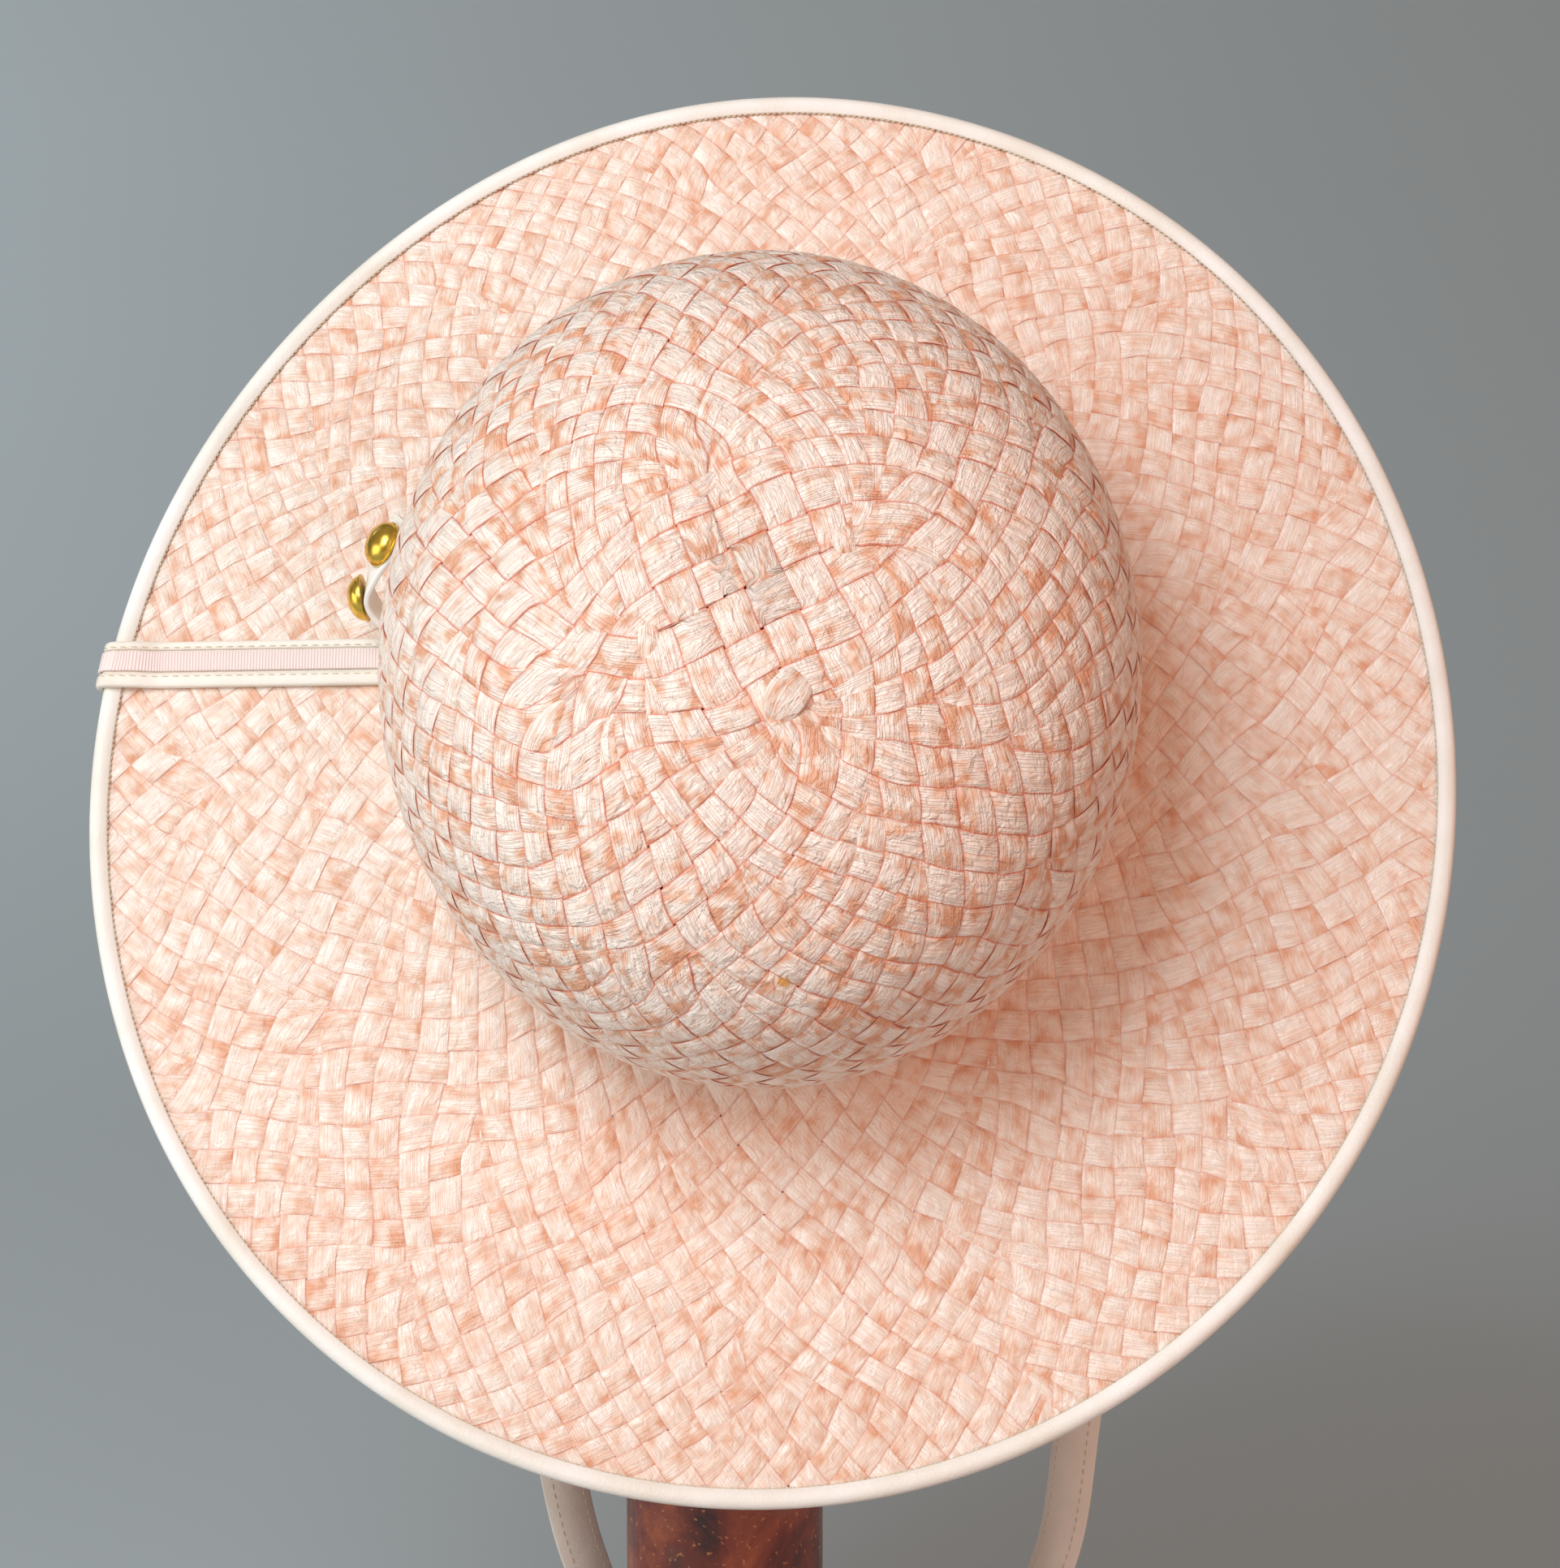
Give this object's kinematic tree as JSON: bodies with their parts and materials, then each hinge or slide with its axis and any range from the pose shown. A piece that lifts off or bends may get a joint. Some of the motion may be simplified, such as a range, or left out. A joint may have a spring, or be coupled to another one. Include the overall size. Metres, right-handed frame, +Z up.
{
  "type": "woven straw sun hat on a post stand",
  "caption": "Pale peach woven straw sun hat with a domed crown, cream bound brim and chin strap, hung on a round rust-brown post stand.",
  "frame": {"origin": "middle of the underside of the stand's foot plate, on the post's axis, on the surface it stands on", "axes": "+Z up along the post, -Y towards the viewer that the hat's crown faces, +X to that viewer's right"},
  "size_m": [0.3522, 0.1979, 0.4831],
  "materials": {
    "straw": "satin",
    "cream_binding": "satin",
    "cream_strap": "satin",
    "pink_ribbon": "matte",
    "gold_stud": "polished",
    "rust_brown_steel": "satin"
  },
  "bodies": {
    "root": {"crown": "straw", "brim": "straw", "brim_binding": "cream_binding", "brim_strap": "cream_strap", "brim_strap_ribbon": "pink_ribbon", "chin_strap": "cream_strap", "chin_strap_ribbon": "pink_ribbon", "side_tab": "cream_strap", "stud_lower": "gold_stud", "stud_upper": "gold_stud", "stand_post": "rust_brown_steel", "stand_base": "rust_brown_steel"}
  },
  "joints": []
}
